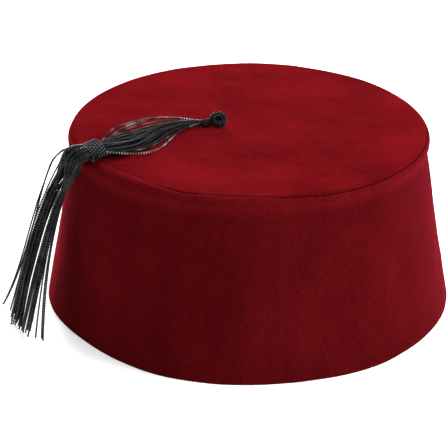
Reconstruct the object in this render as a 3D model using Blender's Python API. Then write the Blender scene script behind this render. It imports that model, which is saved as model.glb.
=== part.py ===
"""A fez: a stiff velvet-covered hat that tapers to a flat crown, with a black tassel sewn on the crown.

Metres, +Z up. The hat stands on its hem at z = 0, and its front is towards -Y. Everything is made round the
hat's own axis, and at the end it is all shifted so that the origin is the middle of the footprint. Angles are in
degrees and run anticlockwise from +X, seen from above.
"""

import math

import bmesh
import bpy
from mathutils import Matrix, Vector

# Sizes of the hat, in metres
HAT_HEIGHT = 0.0862
HEM_RADIUS = 0.0966
SHOULDER_RADIUS = 0.0860
WALL = 0.0025
HEM_ROUND = 0.0006
INSIDE_ROLL = 0.0015
NECK_DROP = 0.0120
NECK_TUCK = 0.0009
SEWN_GAP = 0.0003
TOP_EDGE_BEVEL = 0.0005

# How far the outline is from a circle, as a share of the radius: positive is wider from side to side
HEM_OVAL = 0.017
CROWN_OVAL = -0.012


def table(columns, *rows):
    """Rows of a table by the names of their columns."""
    return [dict(zip(columns.split(), row)) for row in rows]


# Dents of the side. depth is a share of HEM_RADIUS, outwards where it is negative, and ends_at is the share of
# HAT_HEIGHT where the dent has run out
DENTS = table(
    "angle  half_width  depth  ends_at",
    (220.0, 16.0, 0.0195, 0.75),
    (252.0, 24.0, -0.0080, 0.80),
    (307.0, 10.0, -0.0100, 0.70),
)

# Sizes of the tassel, in metres and degrees
LAY_GAP = 0.0003
KNOT_ACROSS = 0.0084
KNOT_CORD = 0.0022
KNOT_OFFSET = 0.0152
KNOT_ANGLE = 195.7
KNOT_TILT = 40.0
CROSSING_CORD = 0.0016
CROSSING_BULGE = 0.0008
CROSSING_TURN = 18.0
NECK_ANGLE = 187.0
NECK_LENGTH = 0.0040
NECK_WIDTH = 0.0033
HANGER_WIDTH = 0.0157
HANGER_DEPTH = 0.0048
HANGER_SPREAD = 0.0260
BUNDLE_WIDTH = 0.0125
BUNDLE_DEPTH = 0.0070
BINDING_LENGTH = 0.0075
BINDING_CORD = 0.0010
BINDING_VALLEY = 0.00035
BINDING_INSET = 0.0065
EDGE_ANGLE = 210.5
SKIRT_FLARE = 0.0170
SKIRT_SPREAD = 0.0440
TIP_CLEARANCE = 0.0006

# Where the hanger is widest, as a share of its length, and how far its ends run straight on
WIDEST_AT = 0.65
START_PULL = 0.45
END_PULL = 0.35

# Strips of the hanger's cords. side is the place in the bundle, from -1 at its back edge to 1 at its front
# edge, bow is how far the strip strays beyond that, as a share of HANGER_SPREAD, and peak is where it strays
# most, as a share of the length. width, depth and lift are shares of the bundle's width and depth there
STRIPS = table(
    "side  bow  peak  width  depth  lift",
    (0.48, 0.00, 0.50, 0.52, 0.84, 0.00),
    (-0.48, 0.00, 0.50, 0.52, 0.90, 0.00),
    (-0.30, -0.44, 0.50, 0.10, 0.30, 0.70),
    (-0.10, -0.36, 0.42, 0.10, 0.30, 0.35),
    (0.30, 0.40, 0.50, 0.11, 0.30, 0.00),
)
CORE_WIDTH = 0.60

# Locks of the skirt. start is where it leaves the head, as a share of the way down. head and tip are places
# across the skirt, as shares of BUNDLE_WIDTH and SKIRT_SPREAD. leap is how far out it bends, as a share of the
# shoulder's own bend, and leave is the angle from upright at which it leaves the shoulder. flare is how far the
# tip is from the wall, as a share of SKIRT_FLARE, and lift is the tip's height, as a share of HAT_HEIGHT. width
# and depth are shares of the bundle's
LOCKS = table(
    "start  head  tip  leap  leave  flare  lift  width  depth",
    (0.03, -0.33, -0.68, 1.30, 40.0, 1.04, 0.040, 0.13, 0.24),
    (0.08, -0.26, -0.43, 1.05, 31.0, 1.05, 0.000, 0.42, 0.72),
    (0.06, 0.01, -0.26, 1.00, 28.0, 1.00, 0.003, 0.44, 0.76),
    (0.10, 0.22, -0.11, 1.00, 26.0, 0.92, 0.010, 0.34, 0.60),
    (0.04, 0.24, 0.04, 0.98, 25.0, 0.84, 0.045, 0.15, 0.28),
)

# The head of the skirt is where the locks are still one, and ends at this share of the way down
HEAD = table(
    "start  head  tip  leap  leave  flare  lift  width  depth",
    (0.00, 0.00, -0.25, 1.00, 28.0, 1.00, 0.000, 0.92, 0.85),
)[0]
HEAD_END = 0.48

# The share of a lock that lies over the shoulder, the angle from upright at its tip, and the size of its top as
# a share of its tip's
BEND_SHARE = 0.09
HANG_ANGLE = 13.0
TOP_SHARE = 0.85

# How finely the round shapes are cut
HAT_SEGMENTS = 96
ROLL_STEPS = 5
BUNDLE_SIDES = 16
STRIP_SIDES = 10
STRIP_STEPS = 12

VELVET = (0.130, 0.004, 0.010, 1.0)
VELVET_TOP = (0.175, 0.006, 0.012, 1.0)
RAYON = (0.012, 0.012, 0.014, 1.0)

# The shoulder rolls over the inside's arc with the wall's full thickness
SHOULDER_ROLL = INSIDE_ROLL + WALL
NECK_RADIUS = SHOULDER_RADIUS - NECK_TUCK
NECK_HEIGHT = HAT_HEIGHT - NECK_DROP
UP = Vector((0.0, 0.0, 1.0))


def direction(angle):
    """The level unit vector at this angle."""
    return Vector((math.cos(math.radians(angle)), math.sin(math.radians(angle)), 0.0))


def beside(along):
    """The level unit vector to the left of along."""
    return Vector((-along.y, along.x, 0.0)).normalized()


def oval(angle, height):
    """The outline's radius at this angle and height, as a share of a circle's."""
    share = HEM_OVAL + (CROWN_OVAL - HEM_OVAL) * height / HAT_HEIGHT
    return 1.0 + share * math.cos(2.0 * math.radians(angle))


def dented(angle, height):
    """How far the dents push the side in at this angle and height."""
    depth = 0.0
    for dent in DENTS:
        turn = abs((angle - dent["angle"] + 180.0) % 360.0 - 180.0) / dent["half_width"]
        fade = max(0.0, 1.0 - height / (dent["ends_at"] * HAT_HEIGHT))
        depth += dent["depth"] * HEM_RADIUS * math.exp(-turn * turn) * fade
    return depth


def wall_radius(height):
    """The radius of the plain cone's outside at this height."""
    return HEM_RADIUS + (NECK_RADIUS - HEM_RADIUS) * height / NECK_HEIGHT


def new_material(name, colour, roughness):
    """A plain surface of one colour."""
    material = bpy.data.materials.new(name)
    material.use_nodes = True
    shader = material.node_tree.nodes["Principled BSDF"]
    shader.inputs["Base Color"].default_value = colour
    shader.inputs["Roughness"].default_value = roughness
    shader.inputs["Metallic"].default_value = 0.0
    return material


def new_object(name, mesh, material):
    """Ends a bmesh as an object, with its faces pointing out."""
    bmesh.ops.recalc_face_normals(mesh, faces=mesh.faces)
    data = bpy.data.meshes.new(name)
    mesh.to_mesh(data)
    mesh.free()
    data.materials.append(material)
    data.shade_smooth()
    data.set_sharp_from_angle(angle=math.radians(40.0))
    piece = bpy.data.objects.new(name, data)
    bpy.context.scene.collection.objects.link(piece)
    return piece


def turned(name, outline, closed, material):
    """Spins this outline of (radius, height) points round the hat's axis, and brings it to the hat's form."""
    mesh = bmesh.new()
    points = [mesh.verts.new((radius, 0.0, height)) for radius, height in outline]
    edges = [mesh.edges.new(pair) for pair in zip(points, points[1:])]
    if closed:
        edges.append(mesh.edges.new((points[-1], points[0])))
    bmesh.ops.spin(
        mesh,
        geom=points + edges,
        cent=(0.0, 0.0, 0.0),
        axis=UP,
        angle=2.0 * math.pi,
        steps=HAT_SEGMENTS,
        use_merge=True,
    )
    bmesh.ops.remove_doubles(mesh, verts=mesh.verts, dist=1e-6)
    for vert in mesh.verts:
        angle = math.degrees(math.atan2(vert.co.y, vert.co.x))
        height = vert.co.z
        radius = vert.co.xy.length * oval(angle, height) - dented(angle, height)
        vert.co = direction(angle) * radius + UP * height
    return new_object(name, mesh, material)


def shoulder_arc(radius, start, end):
    """Points round the middle of the shoulder's roll, from one angle above level to another."""
    points = []
    for step in range(ROLL_STEPS + 1):
        angle = math.radians(start + (end - start) * step / ROLL_STEPS)
        across = SHOULDER_RADIUS - SHOULDER_ROLL + radius * math.cos(angle)
        points.append((across, HAT_HEIGHT - SHOULDER_ROLL + radius * math.sin(angle)))
    return points


def crown_side(material):
    """The side: a tapering wall, rounded at the hem, that rolls over at the shoulder up to the seam."""
    outer = [(HEM_RADIUS - HEM_ROUND, 0.0), (HEM_RADIUS, HEM_ROUND)]
    for share in (0.25, 0.5, 0.75, 1.0):
        outer.append((wall_radius(share * NECK_HEIGHT), share * NECK_HEIGHT))
    outer += shoulder_arc(SHOULDER_ROLL, -20.0, 90.0)
    inner = shoulder_arc(INSIDE_ROLL, 90.0, 0.0)
    for share in (1.0, 0.5):
        inner.append((wall_radius(share * NECK_HEIGHT) - WALL, share * NECK_HEIGHT))
    inner += [(HEM_RADIUS - WALL, HEM_ROUND), (HEM_RADIUS - WALL + HEM_ROUND, 0.0)]
    return turned("crown_side", outer + inner, True, material)


def crown_top(material):
    """The top: a flat disc that fills the ring of the seam."""
    radius = SHOULDER_RADIUS - SHOULDER_ROLL - SEWN_GAP
    underside = HAT_HEIGHT - WALL
    outline = [
        (0.0, HAT_HEIGHT),
        (0.5 * radius, HAT_HEIGHT),
        (radius - TOP_EDGE_BEVEL, HAT_HEIGHT),
        (radius, HAT_HEIGHT - TOP_EDGE_BEVEL),
        (radius, underside),
        (0.5 * radius, underside),
        (0.0, underside),
    ]
    return turned("crown_top", outline, False, material)


def ellipse_at(centre, across, over, width, depth):
    """The matrix that lays a unit circle here as an ellipse, this wide along across and this deep along over."""
    matrix = Matrix.Identity(4)
    for index, column in enumerate((across * 0.5 * width, over * 0.5 * depth, across.cross(over), centre)):
        matrix.col[index][:3] = column
    return matrix


def lofted(name, ellipses, sides, material):
    """A closed piece through a row of ellipses, with flat ends."""
    mesh = bmesh.new()
    rings = []
    for matrix in ellipses:
        verts = bmesh.ops.create_circle(mesh, segments=sides, radius=1.0, matrix=matrix)["verts"]
        rings.append({edge for vert in verts for edge in vert.link_edges})
    for ring, following in zip(rings, rings[1:]):
        bmesh.ops.bridge_loops(mesh, edges=list(ring | following))
    for ring in (rings[0], rings[-1]):
        bmesh.ops.contextual_create(mesh, geom=list(ring))
    return new_object(name, mesh, material)


def fused(body, helpers):
    """Joins the helpers to the body with a union, and hides them."""
    group = bpy.data.collections.new(body.name + "_helpers")
    bpy.context.scene.collection.children.link(group)
    for helper in helpers:
        bpy.context.scene.collection.objects.unlink(helper)
        group.objects.link(helper)
        helper.hide_render = True
        helper.display_type = "WIRE"
        helper.parent = body
    union = body.modifiers.new("fuse", "BOOLEAN")
    union.operation = "UNION"
    union.operand_type = "COLLECTION"
    union.collection = group
    union.solver = "EXACT"
    return body


def knot_frame():
    """The knot's centre, the way its neck points, the slope of its face upwards, and the way its face looks."""
    along = direction(NECK_ANGLE)
    lean = math.radians(KNOT_TILT)
    slope = UP * math.sin(lean) - beside(along) * math.cos(lean)
    ring_radius = 0.5 * (KNOT_ACROSS - KNOT_CORD)
    rise = ring_radius * math.sin(lean) + 0.5 * KNOT_CORD + LAY_GAP
    centre = direction(KNOT_ANGLE) * KNOT_OFFSET + UP * (HAT_HEIGHT + rise)
    return centre, along, slope, along.cross(slope)


def tassel_knot(material):
    """The eye knot that is sewn to the crown: a tilted ring of cord with a turn across it, and its bound neck."""
    centre, along, slope, facing = knot_frame()
    ring_radius = 0.5 * (KNOT_ACROSS - KNOT_CORD)

    mesh = bmesh.new()
    section = ellipse_at(centre + along * ring_radius, along, facing, KNOT_CORD, KNOT_CORD)
    circle = bmesh.ops.create_circle(mesh, segments=STRIP_SIDES, radius=1.0, matrix=section)["verts"]
    bmesh.ops.spin(
        mesh,
        geom=circle + list({edge for vert in circle for edge in vert.link_edges}),
        cent=centre,
        axis=facing,
        angle=2.0 * math.pi,
        steps=2 * STRIP_STEPS,
        use_merge=True,
    )
    ring = new_object("tassel_knot", mesh, material)

    # The turn runs across the ring's face a little off its slope, and bulges over the middle
    lean = math.radians(CROSSING_TURN)
    run = slope * math.cos(lean) + along * math.sin(lean)
    turn = []
    for step in range(STRIP_STEPS + 1):
        share = 2.0 * step / STRIP_STEPS - 1.0
        place = centre + run * share * ring_radius + facing * CROSSING_BULGE * (1.0 - share * share)
        turn.append(ellipse_at(place, run.cross(facing), facing, CROSSING_CORD, CROSSING_CORD))
    crossing = lofted("knot_crossing", turn, STRIP_SIDES, material)

    # The neck leaves the ring at its middle height, and is down on the crown by its own middle
    lying = HAT_HEIGHT + LAY_GAP + 0.5 * NECK_WIDTH
    neck = []
    for step in range(STRIP_STEPS + 1):
        share = step / STRIP_STEPS
        place = centre + along * (ring_radius + share * (NECK_LENGTH + 0.5 * KNOT_CORD))
        place.z = lying + (centre.z - lying) * max(0.0, 1.0 - 2.0 * share) ** 2
        neck.append(ellipse_at(place, beside(along), UP, NECK_WIDTH, NECK_WIDTH))
    return fused(ring, [crossing, lofted("knot_neck", neck, STRIP_SIDES, material)])


def bulge(share, peak):
    """A smooth hump over a strip's length, 0 at both ends and 1 at the peak."""
    bent = share ** (math.log(0.5) / math.log(peak))
    return max(0.0, math.sin(math.pi * bent)) ** 1.3


def swelling(share, start, widest, end):
    """A size of the hanger, which goes from start to end and reaches widest where the hanger is widest."""
    straight = start + (end - start) * share
    return straight + (widest - start - (end - start) * WIDEST_AT) * bulge(share, WIDEST_AT)


def cubic(points, share):
    """A point of the curve that leaves the first point towards the second, and comes to the last from the third."""
    back = 1.0 - share
    weights = (back**3, 3.0 * back**2 * share, 3.0 * back * share**2, share**3)
    return sum((point * weight for point, weight in zip(points, weights)), Vector((0.0, 0.0, 0.0)))


def heading(route, share):
    """The unit vector along a route, which is a function of the share of its length."""
    return (route(share + 0.001) - route(share - 0.001)).normalized()


def binding_reach():
    """How far from the axis the middle of the binding lies."""
    return (SHOULDER_RADIUS - BINDING_INSET) * oval(EDGE_ANGLE, HAT_HEIGHT)


def hanger_middle(share):
    """A point of the hanger's middle line, seen from above."""
    centre, neck_way, _, _ = knot_frame()
    edge_way = direction(EDGE_ANGLE)
    start = centre + neck_way * (0.5 * KNOT_ACROSS + NECK_LENGTH + LAY_GAP)
    start.z = 0.0
    end = edge_way * (binding_reach() - 0.5 * BINDING_LENGTH - LAY_GAP)
    length = (end - start).length
    bends = (start + neck_way * START_PULL * length, end - edge_way * END_PULL * length)
    return cubic((start, *bends, end), share)


def tassel_hanger(material):
    """The cords that lie on the crown: a flat bundle of strips, with stray strips bowed out beside it."""

    def strip(name, side, bow, peak, width, depth, lift, trim, sides):
        ellipses = []
        for step in range(STRIP_STEPS + 1):
            share = trim + (1.0 - 2.0 * trim) * step / STRIP_STEPS
            across = beside(heading(hanger_middle, share))
            bundle_width = swelling(share, NECK_WIDTH, HANGER_WIDTH, BUNDLE_WIDTH)
            bundle_depth = swelling(share, NECK_WIDTH, HANGER_DEPTH, BUNDLE_DEPTH)
            aside = side * 0.5 * bundle_width + bow * HANGER_SPREAD * bulge(share, peak)
            deep = depth * bundle_depth
            # A stray strip's ends are buried in the bundle, and its middle lies on the crown or is lifted
            buried = (1.0 - bulge(share, peak)) * 0.5 * (bundle_depth - deep)
            height = HAT_HEIGHT + LAY_GAP + 0.5 * deep + buried + lift * bundle_depth * bulge(share, peak)
            place = hanger_middle(share) + across * aside + UP * height
            ellipses.append(ellipse_at(place, across, UP, width * bundle_width, deep))
        return lofted(name, ellipses, sides, material)

    core = strip("tassel_hanger", 0.0, 0.0, 0.5, CORE_WIDTH, 1.0, 0.0, 0.0, BUNDLE_SIDES)
    strips = [strip("hanger_strip", trim=0.03, sides=STRIP_SIDES, **row) for row in STRIPS]
    return fused(core, strips)


def tassel_binding(material):
    """The cord wound round the tassel's waist, turn beside turn, where the tassel comes to the edge."""
    out = direction(EDGE_ANGLE)
    turns = max(2, round(BINDING_LENGTH / BINDING_CORD))
    height = HAT_HEIGHT + LAY_GAP + 0.5 * (BUNDLE_DEPTH + BINDING_CORD)
    ellipses = []
    for step in range(4 * turns + 1):
        # Each turn is round, so its middle stands out further than the valley between it and the next turn
        rounding = abs(math.sin(0.25 * math.pi * step))
        proud = BINDING_VALLEY + (BINDING_CORD - BINDING_VALLEY) * rounding
        place = out * (binding_reach() + BINDING_LENGTH * (step / (4 * turns) - 0.5)) + UP * height
        ellipses.append(ellipse_at(place, beside(out), UP, BUNDLE_WIDTH + proud, BUNDLE_DEPTH + proud))
    return lofted("tassel_binding", ellipses, BUNDLE_SIDES, material)


def skirt_lock(name, row, end, sides, material):
    """One lock of the skirt, down to this share of the way from the binding to the tips."""
    out = direction(EDGE_ANGLE)
    across = beside(out)
    side = oval(EDGE_ANGLE, HAT_HEIGHT)
    width = row["width"] * BUNDLE_WIDTH
    depth = row["depth"] * BUNDLE_DEPTH
    thick = LAY_GAP + 0.5 * BUNDLE_DEPTH
    begin = binding_reach() + 0.5 * BINDING_LENGTH + LAY_GAP
    rise = SHOULDER_ROLL + thick
    leap = ((SHOULDER_RADIUS - SHOULDER_ROLL) * side + rise - begin) * row["leap"]
    leave = math.radians(row["leave"])
    hang = math.radians(HANG_ANGLE)

    def over_shoulder(angle):
        height = HAT_HEIGHT + thick - rise * (1.0 - math.cos(angle))
        return out * (begin + leap * math.sin(angle)) + UP * height

    # The tip is cut square to the lock, so its middle is higher than its low edge
    low = TIP_CLEARANCE + 0.5 * depth * math.sin(hang) + row["lift"] * HAT_HEIGHT
    turn = math.atan2(leap, rise * math.tan(leave))
    edge = over_shoulder(turn)
    tip = out * (wall_radius(low) * side + thick + row["flare"] * SKIRT_FLARE) + UP * low
    pull = (tip - edge).length / 3.0
    first = edge + (out * math.sin(leave) - UP * math.cos(leave)) * pull
    last = tip - (out * math.sin(hang) - UP * math.cos(hang)) * pull

    def middle(share):
        if share < BEND_SHARE:
            place = over_shoulder(turn * share / BEND_SHARE)
        else:
            place = cubic((edge, first, last, tip), (share - BEND_SHARE) / (1.0 - BEND_SHARE))
        aside = row["head"] * BUNDLE_WIDTH * (1.0 - share) + row["tip"] * SKIRT_SPREAD * share
        return place + across * aside

    ellipses = []
    for step in range(STRIP_STEPS + 1):
        share = row["start"] + (end - row["start"]) * step / STRIP_STEPS
        over = heading(middle, share).cross(across).normalized()
        grown = TOP_SHARE + (1.0 - TOP_SHARE) * step / STRIP_STEPS
        ellipses.append(ellipse_at(middle(share), across, over, width * grown, depth * grown))
    return lofted(name, ellipses, sides, material)


def tassel_skirt(material):
    """The cords that hang over the edge: a head that bends over the shoulder and splits into locks."""
    head = skirt_lock("tassel_skirt", HEAD, HEAD_END, BUNDLE_SIDES, material)
    return fused(head, [skirt_lock("skirt_lock", row, 1.0, STRIP_SIDES, material) for row in LOCKS])


def centre_footprint(pieces):
    """Shifts everything together so that the origin is under the middle of the whole object's box."""
    bpy.context.view_layer.update()
    graph = bpy.context.evaluated_depsgraph_get()
    corners = []
    for piece in pieces:
        corners += [Vector(corner) for corner in piece.evaluated_get(graph).bound_box]
    base = bpy.data.objects.new("fez", None)
    bpy.context.scene.collection.objects.link(base)
    for axis in range(2):
        places = [corner[axis] for corner in corners]
        base.location[axis] = -0.5 * (min(places) + max(places))
    for piece in pieces:
        piece.parent = base


def main():
    for old in list(bpy.data.objects):
        bpy.data.objects.remove(old)
    velvet = new_material("velvet", VELVET, 0.9)
    velvet_top = new_material("velvet_top", VELVET_TOP, 0.9)
    rayon = new_material("rayon", RAYON, 0.4)
    centre_footprint(
        [
            crown_side(velvet),
            crown_top(velvet_top),
            tassel_knot(rayon),
            tassel_hanger(rayon),
            tassel_binding(rayon),
            tassel_skirt(rayon),
        ]
    )


main()
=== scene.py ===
# %% [markdown]
# # A fez of red velvet with a black tassel
#
# A fez is a short cone of stiff board or felt with velvet drawn over it. A round disc of the same velvet closes
# the top, and a line of stitches joins the two just inside a soft roll. The tassel is a skein of twisted cord:
# sewn down by a knot near the middle, bound at the edge, and left to hang beside the wall.
#
# The CAD model already gives the hat's size and place. This script dresses it: each step explains a piece of the
# hat, then makes it.

# %% Load the frame
import math

import bmesh
import bpy
from mathutils import Matrix, Vector, noise


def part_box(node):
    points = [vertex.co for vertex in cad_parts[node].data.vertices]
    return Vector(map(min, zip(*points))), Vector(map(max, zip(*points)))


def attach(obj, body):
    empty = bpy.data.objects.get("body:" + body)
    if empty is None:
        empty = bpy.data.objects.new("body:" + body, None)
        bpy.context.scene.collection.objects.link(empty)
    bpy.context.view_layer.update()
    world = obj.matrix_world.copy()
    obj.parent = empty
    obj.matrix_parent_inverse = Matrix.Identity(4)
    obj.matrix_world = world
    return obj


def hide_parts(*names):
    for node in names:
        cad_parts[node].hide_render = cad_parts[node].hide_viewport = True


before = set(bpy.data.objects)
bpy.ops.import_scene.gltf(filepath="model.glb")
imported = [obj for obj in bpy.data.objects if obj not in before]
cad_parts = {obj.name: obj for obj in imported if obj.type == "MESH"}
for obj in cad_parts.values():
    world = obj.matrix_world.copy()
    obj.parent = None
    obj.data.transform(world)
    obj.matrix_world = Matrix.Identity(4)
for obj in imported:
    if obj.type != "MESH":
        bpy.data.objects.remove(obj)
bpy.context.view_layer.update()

# %% [markdown]
# ## The hat's own axis and sizes
#
# The hat is round about an axis that isn't at x = y = 0, because the tassel pulls the middle of the footprint to
# one side. The crown's disc is round the same axis, so the middle of its box gives the axis. The driving sizes
# are those of the CAD model, in metres.

# %% Sizes of the hat
disc_low, disc_high = (Vector(corner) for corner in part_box("crown_top"))
AXIS = Vector((0.5 * (disc_low.x + disc_high.x), 0.5 * (disc_low.y + disc_high.y), 0.0))
HAT_HEIGHT = disc_high.z
HEM_RADIUS = 0.0966
SHOULDER_RADIUS = 0.0860
SHOULDER_ROLL = 0.0040
WALL = 0.0025
HEM_ROUND = 0.0006
NECK_RADIUS = SHOULDER_RADIUS - 0.0009
NECK_HEIGHT = HAT_HEIGHT - 0.0120
HEM_OVAL = 0.017
CROWN_OVAL = -0.012
UP = Vector((0.0, 0.0, 1.0))
print(f"axis at {AXIS.x * 1000:.1f}, {AXIS.y * 1000:.1f} mm, height {HAT_HEIGHT * 1000:.1f} mm")


def table(columns, *rows):
    """Rows of a table by the names of their columns."""
    return [dict(zip(columns.split(), row)) for row in rows]


def direction(angle):
    """The level unit vector at this angle in degrees, from +X towards +Y."""
    return Vector((math.cos(math.radians(angle)), math.sin(math.radians(angle)), 0.0))


def beside(along):
    """The level unit vector to the left of along."""
    return Vector((-along.y, along.x, 0.0)).normalized()


# Dents of the side: depth is a share of HEM_RADIUS, and ends_at is the share of HAT_HEIGHT where it runs out
DENTS = table(
    "angle  half_width  depth  ends_at",
    (220.0, 16.0, 0.0195, 0.75),
    (252.0, 24.0, -0.0080, 0.80),
    (307.0, 10.0, -0.0100, 0.70),
)


# Soft bulges of the side, in metres, where the cloth stands off the board
BULGES = table(
    "angle  half_width  height  half_height  amount",
    (188.0, 16.0, 0.0730, 0.0090, 0.0014),
)


def oval(angle, height):
    """The outline's radius at this angle and height, as a share of a circle's."""
    share = HEM_OVAL + (CROWN_OVAL - HEM_OVAL) * height / HAT_HEIGHT
    return 1.0 + share * math.cos(2.0 * math.radians(angle))


def dented(angle, height):
    """How far the dents push the side in at this angle and height."""
    depth = 0.0
    for dent in DENTS:
        turn = abs((angle - dent["angle"] + 180.0) % 360.0 - 180.0) / dent["half_width"]
        fade = max(0.0, 1.0 - height / (dent["ends_at"] * HAT_HEIGHT))
        depth += dent["depth"] * HEM_RADIUS * math.exp(-turn * turn) * fade
    for soft in BULGES:
        turn = (angle % 360.0 - soft["angle"]) / soft["half_width"]
        rise = (height - soft["height"]) / soft["half_height"]
        depth -= soft["amount"] * math.exp(-turn * turn - rise * rise)
    return depth


def wall_radius(height):
    """The radius of the plain cone's outside at this height."""
    return HEM_RADIUS + (NECK_RADIUS - HEM_RADIUS) * height / NECK_HEIGHT


# %% [markdown]
# ## The camera
#
# A product photograph of a hat is taken from a little above, with a long lens so that the crown stays round. The
# place below came from fitting the hem, sides and crown to the photograph: about 77 cm from the hat, looking
# down at 25 degrees. Aiming the camera beside the hat, not shifting its lens, keeps every other view plain.

# %% Camera
scene = bpy.context.scene
CAMERA_PLACE = Vector((0.0, -0.67845, 0.3597))
CAMERA_AIM = Vector((-0.01176, 0.0, 0.03315))
CAMERA_LENS_MM = 124.06
CAMERA_ROLL = 0.00507

camera_data = bpy.data.cameras.new("camera")
camera_data.lens = CAMERA_LENS_MM
camera_data.sensor_width = 36.0
camera = bpy.data.objects.new("camera", camera_data)
scene.collection.objects.link(camera)
aim = (CAMERA_AIM - CAMERA_PLACE).to_track_quat("-Z", "Y").to_matrix().to_4x4()
camera.matrix_world = Matrix.Translation(AXIS + CAMERA_PLACE) @ aim @ Matrix.Rotation(CAMERA_ROLL, 4, "Z")
scene.camera = camera
print("camera", tuple(round(value, 4) for value in camera.matrix_world.translation))

# %% [markdown]
# ## Floor and light
#
# The hat stands on a plain white floor that runs into a white backdrop. Velvet shows its form by how its pile
# catches light, so the light is soft and comes mostly from the right and from above: the right side is lit, the
# left side falls into a deep red, and the rim of the hat stays bright. Large area lights give such soft light.
# The rim light at the right is violet, which cools the red of that edge.

# %% Floor, backdrop and lights
WHITE = (0.94, 0.94, 0.94, 1.0)
FLOOR_GLOW = 0.38
FLOOR_REACH = 10.0
BACKDROP_AT = 1.5
BACKDROP_BEND = 0.8
BACKDROP_TOP = 3.5


def plain_material(name, colour, roughness):
    """A surface of one colour, for the studio only."""
    material = bpy.data.materials.new(name)
    material.use_nodes = True
    shader = material.node_tree.nodes["Principled BSDF"]
    shader.inputs["Base Color"].default_value = colour
    shader.inputs["Roughness"].default_value = roughness
    return material


def area_light(name, place, aimed_at, size, power, colour=(1.0, 1.0, 1.0)):
    """A square soft box at this place."""
    data = bpy.data.lights.new(name, "AREA")
    data.shape = "SQUARE"
    data.size = size
    data.energy = power
    data.color = colour
    light = bpy.data.objects.new(name, data)
    light.location = place
    light.rotation_euler = (aimed_at - place).to_track_quat("-Z", "Y").to_euler()
    scene.collection.objects.link(light)
    return light


def studio_floor():
    """A floor that curves up into a backdrop behind the hat."""
    mesh = bmesh.new()
    outline = [(-FLOOR_REACH, 0.0), (BACKDROP_AT, 0.0)]
    for step in range(1, 9):
        angle = math.radians(90.0 * step / 8)
        outline.append((BACKDROP_AT + BACKDROP_BEND * math.sin(angle), BACKDROP_BEND * (1.0 - math.cos(angle))))
    outline.append((BACKDROP_AT + BACKDROP_BEND, BACKDROP_TOP))
    verts = [mesh.verts.new((-FLOOR_REACH, y, z)) for y, z in outline]
    edges = [mesh.edges.new(pair) for pair in zip(verts, verts[1:])]
    swept = bmesh.ops.extrude_edge_only(mesh, edges=edges)["geom"]
    moved = [item for item in swept if isinstance(item, bmesh.types.BMVert)]
    bmesh.ops.translate(mesh, verts=moved, vec=(2.0 * FLOOR_REACH, 0.0, 0.0))
    data = bpy.data.meshes.new("floor")
    mesh.to_mesh(data)
    mesh.free()
    data.shade_smooth()
    floor = bpy.data.objects.new("floor", data)
    scene.collection.objects.link(floor)
    white = plain_material("studio_white", WHITE, 0.9)
    white.node_tree.nodes["Principled BSDF"].inputs["Emission Color"].default_value = WHITE
    white.node_tree.nodes["Principled BSDF"].inputs["Emission Strength"].default_value = FLOOR_GLOW
    data.materials.append(white)
    return floor


print("floor", len(studio_floor().data.polygons), "faces")

# %% Lights
MIDDLE = AXIS + UP * 0.04


def from_side(azimuth, elevation, distance):
    """The place seen from the hat at this azimuth and elevation in degrees."""
    return MIDDLE + (direction(azimuth) * math.cos(math.radians(elevation))
                     + UP * math.sin(math.radians(elevation))) * distance


area_light("key_light", from_side(-16.0, 30.0, 1.2), MIDDLE, 0.5, 13.5)
area_light("top_light", from_side(60.0, 72.0, 1.3), MIDDLE, 0.8, 12.0)
area_light("left_rim_light", from_side(108.0, 16.0, 1.0), MIDDLE, 0.3, 15.0)
area_light("right_rim_light", from_side(52.0, 12.0, 1.0), MIDDLE, 0.4, 5.0, (0.30, 0.10, 1.0))
area_light("glint_light", from_side(-75.0, 50.0, 1.1), MIDDLE, 0.08, 1.2)
scene.view_settings.view_transform = "Standard"
print("lights look at", tuple(round(value, 3) for value in MIDDLE))

# %% [markdown]
# ## Writing shaders as sums
#
# A material's pattern is a sum of masks and noises. Joining Math nodes by hand hides that sum, so one small class
# wraps a socket and overloads the arithmetic signs: `1 - mask * 0.5` then adds the Math nodes by itself.

# %% A socket that can be added and multiplied
class Value:
    """A socket of a material's node tree, on which sums can be written."""

    def __init__(self, tree, socket):
        self.tree = tree
        self.socket = socket

    def _math(self, operation, first, second):
        return node(self.tree, "ShaderNodeMath", {"operation": operation}, {0: first, 1: second})[0]

    def __add__(self, other):
        return self._math("ADD", self, other)

    def __sub__(self, other):
        return self._math("SUBTRACT", self, other)

    def __rsub__(self, other):
        return self._math("SUBTRACT", other, self)

    def __mul__(self, other):
        return self._math("MULTIPLY", self, other)

    def __pow__(self, other):
        return self._math("POWER", self, other)

    __radd__ = __add__
    __rmul__ = __mul__


def node(tree, kind, settings=None, inputs=None):
    """A node with its settings, its inputs' values or links, and its outputs as Values."""
    made = tree.nodes.new(kind)
    for name, value in (settings or {}).items():
        setattr(made, name, value)
    for name, value in (inputs or {}).items():
        if isinstance(value, Value):
            tree.links.new(value.socket, made.inputs[name])
        else:
            made.inputs[name].default_value = value
    return [Value(tree, output) for output in made.outputs if output.enabled]


def noise_of(tree, place, scale, detail=2.0, roughness=0.5):
    """Plain noise from 0 to 1 at this place."""
    inputs = {"Vector": place, "Scale": scale, "Detail": detail, "Roughness": roughness}
    return node(tree, "ShaderNodeTexNoise", {}, inputs)[0]


def stretched(tree, place, factors, turn=(0.0, 0.0, 0.0)):
    """The place turned and then scaled, which squeezes a pattern along each axis."""
    inputs = {"Vector": place, "Rotation": turn, "Scale": factors}
    return node(tree, "ShaderNodeMapping", {"vector_type": "POINT"}, inputs)[0]


def mixed(tree, share, first, second):
    """A colour from the first to the second."""
    settings = {"data_type": "RGBA", "blend_type": "MIX"}
    return node(tree, "ShaderNodeMix", settings, {0: share, 6: first, 7: second})[0]


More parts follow.
